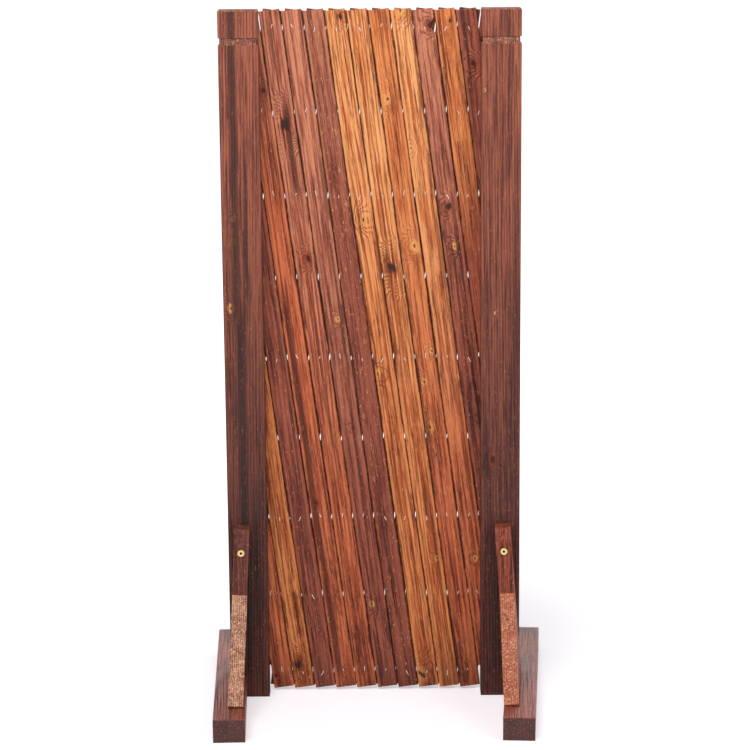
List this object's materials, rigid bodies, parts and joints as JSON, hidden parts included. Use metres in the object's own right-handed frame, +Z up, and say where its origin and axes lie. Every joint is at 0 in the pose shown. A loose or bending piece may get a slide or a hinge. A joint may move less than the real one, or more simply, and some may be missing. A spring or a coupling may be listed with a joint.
{
  "type": "expanding wooden fence panel",
  "caption": "Expanding wooden trellis fence, shown closed: crossed slats tied with wire between two posts that stand on braced feet.",
  "frame": {"origin": "on the ground, midway between the outermost corners of the feet and midway along them", "axes": "+X along the fence to the right, +Y away from the side with the braces, +Z up"},
  "size_m": [0.591, 0.4766, 1.2003],
  "materials": {
    "post": "carbonised, sawn",
    "foot": "carbonised, sawn",
    "brace": "carbonised, sawn",
    "slat_front": "carbonised, rough sawn",
    "slat_back": "carbonised, rough sawn",
    "wire": "bright drawn wire",
    "bolt": "plated, satin",
    "screw": "zinc plated"
  },
  "bodies": {
    "left_stand": {"left_post": "post", "left_foot": "foot", "left_brace": "brace", "left_brace_bolt": "bolt", "left_post_screw": "screw", "left_brace_screw": "screw", "left_pivot_screw": "screw", "left_pivot_packer": "post"},
    "front_slat_01": {"front_slat_01": "slat_front", "ties_01": "wire"},
    "front_slat_02": {"front_slat_02": "slat_front", "ties_02": "wire"},
    "front_slat_03": {"front_slat_03": "slat_front", "ties_03": "wire"},
    "front_slat_04": {"front_slat_04": "slat_front", "ties_04": "wire"},
    "front_slat_05": {"front_slat_05": "slat_front", "ties_05": "wire"},
    "front_slat_06": {"front_slat_06": "slat_front", "ties_06": "wire"},
    "front_slat_07": {"front_slat_07": "slat_front", "ties_07": "wire"},
    "front_slat_08": {"front_slat_08": "slat_front", "ties_08": "wire"},
    "front_slat_09": {"front_slat_09": "slat_front", "ties_09": "wire"},
    "front_slat_10": {"front_slat_10": "slat_front", "ties_10": "wire"},
    "front_slat_11": {"front_slat_11": "slat_front", "ties_11": "wire"},
    "front_slat_12": {"front_slat_12": "slat_front", "ties_12": "wire"},
    "front_slat_13": {"front_slat_13": "slat_front", "ties_13": "wire"},
    "front_slat_14": {"front_slat_14": "slat_front", "ties_14": "wire"},
    "back_slat_01": {"back_slat_01": "slat_back"},
    "back_slat_02": {"back_slat_02": "slat_back"},
    "back_slat_03": {"back_slat_03": "slat_back"},
    "back_slat_04": {"back_slat_04": "slat_back"},
    "back_slat_05": {"back_slat_05": "slat_back"},
    "back_slat_06": {"back_slat_06": "slat_back"},
    "back_slat_07": {"back_slat_07": "slat_back"},
    "back_slat_08": {"back_slat_08": "slat_back"},
    "back_slat_09": {"back_slat_09": "slat_back"},
    "back_slat_10": {"back_slat_10": "slat_back"},
    "back_slat_11": {"back_slat_11": "slat_back"},
    "back_slat_12": {"back_slat_12": "slat_back"},
    "back_slat_13": {"back_slat_13": "slat_back"},
    "back_slat_14": {"back_slat_14": "slat_back"},
    "right_stand": {"right_post": "post", "right_foot": "foot", "right_brace": "brace", "right_brace_bolt": "bolt", "right_post_screw": "screw", "right_brace_screw": "screw", "right_pivot_screw": "screw", "right_pivot_packer": "post"}
  },
  "joints": [
    {"name": "lattice_spread", "type": "hinge", "parent": "left_stand", "child": "front_slat_02", "pos_m": [-0.20814, 0.02715, 0.6016], "axis": [0, -1, 0], "range_deg": [0, 38]},
    {"name": "tie_to_back_slat_04", "type": "hinge", "parent": "front_slat_02", "child": "back_slat_04", "pos_m": [-0.17154, 0.02715, 0.31836], "axis": [0, -1, 0], "range_deg": [-76, 0]},
    {"name": "tie_to_back_slat_06", "type": "hinge", "parent": "front_slat_02", "child": "back_slat_06", "pos_m": [-0.13494, 0.02715, 0.03511], "axis": [0, -1, 0], "range_deg": [-76, 0]},
    {"name": "tie_to_front_slat_04", "type": "hinge", "parent": "back_slat_04", "child": "front_slat_04", "pos_m": [-0.13494, 0.02715, 0.6016], "axis": [0, -1, 0], "range_deg": [0, 76]},
    {"name": "tie_to_front_slat_06", "type": "hinge", "parent": "back_slat_04", "child": "front_slat_06", "pos_m": [-0.09833, 0.02715, 0.88485], "axis": [0, -1, 0], "range_deg": [0, 76]},
    {"name": "tie_to_front_slat_01", "type": "hinge", "parent": "back_slat_04", "child": "front_slat_01", "pos_m": [-0.18984, 0.02715, 0.17674], "axis": [0, -1, 0], "range_deg": [0, 76]},
    {"name": "tie_to_front_slat_08", "type": "hinge", "parent": "back_slat_04", "child": "front_slat_08", "pos_m": [-0.06173, 0.02715, 1.16809], "axis": [0, -1, 0], "range_deg": [0, 76]},
    {"name": "tie_to_front_slat_03", "type": "hinge", "parent": "back_slat_06", "child": "front_slat_03", "pos_m": [-0.11664, 0.02715, 0.17674], "axis": [0, -1, 0], "range_deg": [0, 76]},
    {"name": "tie_to_front_slat_10", "type": "hinge", "parent": "back_slat_06", "child": "front_slat_10", "pos_m": [0.01147, 0.02715, 1.16809], "axis": [0, -1, 0], "range_deg": [0, 76]},
    {"name": "tie_to_back_slat_02", "type": "hinge", "parent": "front_slat_04", "child": "back_slat_02", "pos_m": [-0.17154, 0.02715, 0.88485], "axis": [0, -1, 0], "range_deg": [-76, 0]},
    {"name": "tie_to_back_slat_01", "type": "hinge", "parent": "front_slat_04", "child": "back_slat_01", "pos_m": [-0.18984, 0.02715, 1.02647], "axis": [0, -1, 0], "range_deg": [-76, 0]},
    {"name": "tie_to_back_slat_08", "type": "hinge", "parent": "front_slat_04", "child": "back_slat_08", "pos_m": [-0.06173, 0.02715, 0.03511], "axis": [0, -1, 0], "range_deg": [-76, 0]},
    {"name": "tie_to_back_slat_03", "type": "hinge", "parent": "front_slat_06", "child": "back_slat_03", "pos_m": [-0.11664, 0.02715, 1.02647], "axis": [0, -1, 0], "range_deg": [-76, 0]},
    {"name": "tie_to_back_slat_10", "type": "hinge", "parent": "front_slat_06", "child": "back_slat_10", "pos_m": [0.01147, 0.02715, 0.03511], "axis": [0, -1, 0], "range_deg": [-76, 0]},
    {"name": "tie_to_back_slat_05", "type": "hinge", "parent": "front_slat_01", "child": "back_slat_05", "pos_m": [-0.17154, 0.02715, 0.03511], "axis": [0, -1, 0], "range_deg": [-76, 0]},
    {"name": "tie_to_back_slat_12", "type": "hinge", "parent": "front_slat_08", "child": "back_slat_12", "pos_m": [0.08468, 0.02715, 0.03511], "axis": [0, -1, 0], "range_deg": [-76, 0]},
    {"name": "tie_to_back_slat_07", "type": "hinge", "parent": "front_slat_03", "child": "back_slat_07", "pos_m": [-0.09833, 0.02715, 0.03511], "axis": [0, -1, 0], "range_deg": [-76, 0]},
    {"name": "tie_to_back_slat_13", "type": "hinge", "parent": "front_slat_10", "child": "back_slat_13", "pos_m": [0.13958, 0.02715, 0.17674], "axis": [0, -1, 0], "range_deg": [-76, 0]},
    {"name": "tie_to_back_slat_14", "type": "hinge", "parent": "front_slat_10", "child": "back_slat_14", "pos_m": [0.15788, 0.02715, 0.03511], "axis": [0, -1, 0], "range_deg": [-76, 0]},
    {"name": "tie_to_front_slat_05", "type": "hinge", "parent": "back_slat_01", "child": "front_slat_05", "pos_m": [-0.17154, 0.02715, 1.16809], "axis": [0, -1, 0], "range_deg": [0, 76]},
    {"name": "tie_to_front_slat_12", "type": "hinge", "parent": "back_slat_08", "child": "front_slat_12", "pos_m": [0.08468, 0.02715, 1.16809], "axis": [0, -1, 0], "range_deg": [0, 76]},
    {"name": "tie_to_front_slat_07", "type": "hinge", "parent": "back_slat_03", "child": "front_slat_07", "pos_m": [-0.09833, 0.02715, 1.16809], "axis": [0, -1, 0], "range_deg": [0, 76]},
    {"name": "tie_to_front_slat_13", "type": "hinge", "parent": "back_slat_10", "child": "front_slat_13", "pos_m": [0.13958, 0.02715, 1.02647], "axis": [0, -1, 0], "range_deg": [0, 76]},
    {"name": "tie_to_front_slat_14", "type": "hinge", "parent": "back_slat_10", "child": "front_slat_14", "pos_m": [0.15788, 0.02715, 1.16809], "axis": [0, -1, 0], "range_deg": [0, 76]},
    {"name": "tie_to_front_slat_09", "type": "hinge", "parent": "back_slat_05", "child": "front_slat_09", "pos_m": [-0.02513, 0.02715, 1.16809], "axis": [0, -1, 0], "range_deg": [0, 76]},
    {"name": "tie_to_front_slat_11", "type": "hinge", "parent": "back_slat_07", "child": "front_slat_11", "pos_m": [0.04807, 0.02715, 1.16809], "axis": [0, -1, 0], "range_deg": [0, 76]},
    {"name": "tie_to_back_slat_09", "type": "hinge", "parent": "front_slat_05", "child": "back_slat_09", "pos_m": [-0.02513, 0.02715, 0.03511], "axis": [0, -1, 0], "range_deg": [-76, 0]},
    {"name": "tie_to_back_slat_11", "type": "hinge", "parent": "front_slat_07", "child": "back_slat_11", "pos_m": [0.04807, 0.02715, 0.03511], "axis": [0, -1, 0], "range_deg": [-76, 0]},
    {"name": "right_stand_pivot", "type": "hinge", "parent": "back_slat_13", "child": "right_stand", "pos_m": [0.19448, 0.02715, 0.6016], "axis": [0, -1, 0], "range_deg": [0, 38]}
  ],
  "couplings": [
    {"joint": "tie_to_back_slat_04", "follows": "lattice_spread", "ratio": -2},
    {"joint": "tie_to_back_slat_06", "follows": "lattice_spread", "ratio": -2},
    {"joint": "tie_to_front_slat_04", "follows": "lattice_spread", "ratio": 2},
    {"joint": "tie_to_front_slat_06", "follows": "lattice_spread", "ratio": 2},
    {"joint": "tie_to_front_slat_01", "follows": "lattice_spread", "ratio": 2},
    {"joint": "tie_to_front_slat_08", "follows": "lattice_spread", "ratio": 2},
    {"joint": "tie_to_front_slat_03", "follows": "lattice_spread", "ratio": 2},
    {"joint": "tie_to_front_slat_10", "follows": "lattice_spread", "ratio": 2},
    {"joint": "tie_to_back_slat_02", "follows": "lattice_spread", "ratio": -2},
    {"joint": "tie_to_back_slat_01", "follows": "lattice_spread", "ratio": -2},
    {"joint": "tie_to_back_slat_08", "follows": "lattice_spread", "ratio": -2},
    {"joint": "tie_to_back_slat_03", "follows": "lattice_spread", "ratio": -2},
    {"joint": "tie_to_back_slat_10", "follows": "lattice_spread", "ratio": -2},
    {"joint": "tie_to_back_slat_05", "follows": "lattice_spread", "ratio": -2},
    {"joint": "tie_to_back_slat_12", "follows": "lattice_spread", "ratio": -2},
    {"joint": "tie_to_back_slat_07", "follows": "lattice_spread", "ratio": -2},
    {"joint": "tie_to_back_slat_13", "follows": "lattice_spread", "ratio": -2},
    {"joint": "tie_to_back_slat_14", "follows": "lattice_spread", "ratio": -2},
    {"joint": "tie_to_front_slat_05", "follows": "lattice_spread", "ratio": 2},
    {"joint": "tie_to_front_slat_12", "follows": "lattice_spread", "ratio": 2},
    {"joint": "tie_to_front_slat_07", "follows": "lattice_spread", "ratio": 2},
    {"joint": "tie_to_front_slat_13", "follows": "lattice_spread", "ratio": 2},
    {"joint": "tie_to_front_slat_14", "follows": "lattice_spread", "ratio": 2},
    {"joint": "tie_to_front_slat_09", "follows": "lattice_spread", "ratio": 2},
    {"joint": "tie_to_front_slat_11", "follows": "lattice_spread", "ratio": 2},
    {"joint": "tie_to_back_slat_09", "follows": "lattice_spread", "ratio": -2},
    {"joint": "tie_to_back_slat_11", "follows": "lattice_spread", "ratio": -2},
    {"joint": "right_stand_pivot", "follows": "lattice_spread", "ratio": 1}
  ]
}
